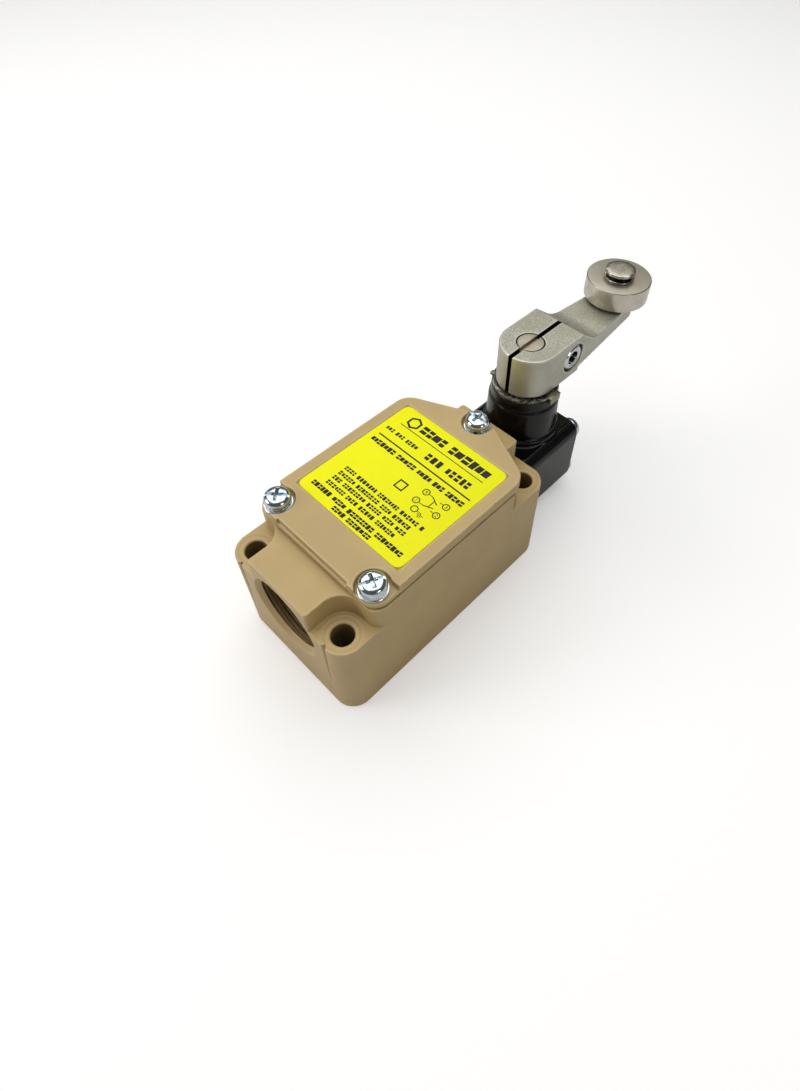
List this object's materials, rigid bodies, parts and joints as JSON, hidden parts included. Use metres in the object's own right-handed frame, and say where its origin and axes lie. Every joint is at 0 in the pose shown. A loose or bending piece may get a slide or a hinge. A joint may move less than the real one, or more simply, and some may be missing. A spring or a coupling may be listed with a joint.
{
  "type": "limit switch",
  "caption": "Die-cast roller-lever limit switch with a side conduit hub, screwed cover, rotary head and spring-return lever.",
  "frame": {"origin": "centre of the four mounting holes, on the back mounting face", "axes": "+Z out of the cover, parallel to the switch shaft; +Y towards the rotary head; +X to the right with the head up"},
  "size_m": [0.0402, 0.1281, 0.0554],
  "materials": {
    "beige_paint": "satin",
    "gasket_rubber": "matte",
    "label": "semi-gloss",
    "zinc_steel": "zinc plated",
    "black_paint": "gloss",
    "die_cast": "satin",
    "steel": "ground",
    "spring_steel": "drawn",
    "bronze": "sintered",
    "brass_contact": "bright",
    "nickel": "satin nickel",
    "phenolic": "moulded",
    "red_plastic": "moulded",
    "black_plastic": "moulded",
    "green_zinc": "dyed zinc"
  },
  "bodies": {
    "body": {"housing": "beige_paint", "cover_gasket": "gasket_rubber", "cover": "beige_paint", "label_plate": "label", "cover_screws": "zinc_steel", "cover_spring_washers": "zinc_steel", "cover_flat_washers": "zinc_steel", "head_gasket": "gasket_rubber", "head_casing": "black_paint", "head_screws": "zinc_steel", "shaft_bushing": "bronze", "shaft_seal": "gasket_rubber", "stop_ring": "steel", "plunger_guide": "brass_contact", "plunger_spring": "spring_steel", "return_spring": "spring_steel", "switch_case": "phenolic", "switch_lid": "phenolic", "switch_screws": "zinc_steel", "nc_contacts": "brass_contact", "no_contacts": "brass_contact", "terminal_clamps": "zinc_steel", "terminal_screws": "zinc_steel", "contact_spring": "spring_steel", "ground_screw": "green_zinc", "ground_washer": "zinc_steel"},
    "lever": {"shaft": "steel", "cam": "steel", "cam_pin": "spring_steel", "lever_arm": "die_cast", "lever_clamp_screw": "zinc_steel", "roller_washer": "black_plastic", "roller_pin": "nickel"},
    "roller": {"roller": "nickel", "roller_bush": "bronze"},
    "head_plunger": {"head_plunger": "steel"},
    "switch_slide": {"switch_button": "red_plastic", "contact_bridge": "brass_contact"}
  },
  "joints": [
    {"name": "lever_turn", "type": "hinge", "parent": "body", "child": "lever", "pos_m": [0, 0.0472, 0.046], "axis": [0, 0, 1], "range_deg": [-45, 45], "stiffness_Nm_per_rad": 0.3, "deforming": ["return_spring"]},
    {"name": "roller_spin", "type": "hinge", "parent": "lever", "child": "roller", "pos_m": [0, 0.0852, 0.05], "axis": [0, 0, 1], "continuous": true},
    {"name": "plunger_push", "type": "slide", "parent": "body", "child": "head_plunger", "axis": [0, -1, 0], "range_m": [0, 0.0017], "stiffness_N_per_m": 800, "deforming": ["plunger_spring"]},
    {"name": "switch_push", "type": "slide", "parent": "body", "child": "switch_slide", "axis": [0, -1, 0], "range_m": [0, 0.0017], "stiffness_N_per_m": 400, "deforming": ["contact_spring"]}
  ],
  "couplings": [
    {"joint": "switch_push", "follows": "plunger_push", "ratio": 1}
  ]
}
